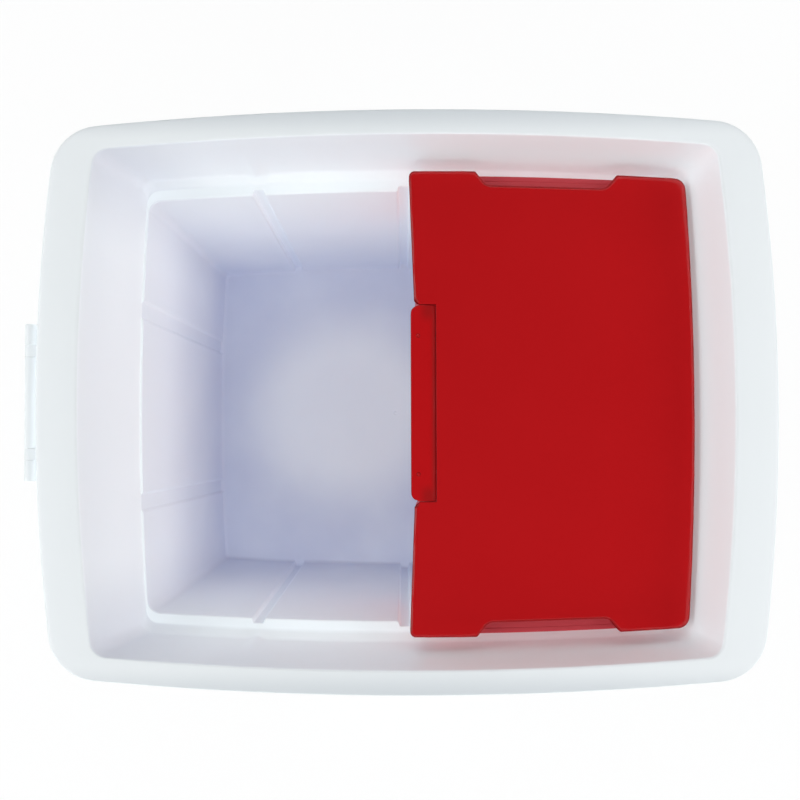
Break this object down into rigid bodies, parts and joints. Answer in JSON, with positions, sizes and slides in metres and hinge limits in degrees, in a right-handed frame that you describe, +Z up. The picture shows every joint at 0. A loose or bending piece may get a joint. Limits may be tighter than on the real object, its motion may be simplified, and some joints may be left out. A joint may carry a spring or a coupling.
{
  "type": "art supply box",
  "caption": "Open moulded storage tub with a rolled rim and fluted walls, a lidded lift-out half tray resting on an inner ledge, and a swing latch on one end.",
  "frame": {"origin": "middle of the tub's flat base, on the surface it stands on", "axes": "+X along the long side towards the tray, +Y along the short side, +Z up out of the tub's mouth"},
  "size_m": [0.3942, 0.3, 0.22],
  "materials": {
    "tub_plastic": "satin moulded white",
    "latch_plastic": "satin moulded white",
    "tray_plastic": "glossy moulded red",
    "lid_plastic": "glossy moulded red",
    "pin_steel": "drawn wire"
  },
  "bodies": {
    "box": {"tub": "tub_plastic", "latch_pin": "pin_steel"},
    "latch": {"end_latch": "latch_plastic"},
    "tray": {"tray_base": "tray_plastic", "lid_pin_left": "pin_steel", "lid_pin_right": "pin_steel"},
    "lid": {"tray_lid": "lid_plastic"},
    "tab": {"lid_tab": "lid_plastic"}
  },
  "joints": [
    {"name": "tray_lift", "type": "slide", "parent": "box", "child": "tray", "axis": [0, 0, 1], "range_m": [0, 0.125]},
    {"name": "lid_hinge", "type": "hinge", "parent": "tray", "child": "lid", "pos_m": [0.14753, 0, 0.19], "axis": [0, 1, 0], "range_deg": [0, 90]},
    {"name": "tab_crease", "type": "hinge", "parent": "lid", "child": "tab", "pos_m": [0.01713, 0, 0.1934], "axis": [0, 1, 0], "range_deg": [0, 50], "stiffness_Nm_per_rad": 0.02},
    {"name": "latch_swing", "type": "hinge", "parent": "box", "child": "latch", "pos_m": [-0.196, 0, 0.211], "axis": [0, 1, 0], "range_deg": [0, 175]}
  ]
}
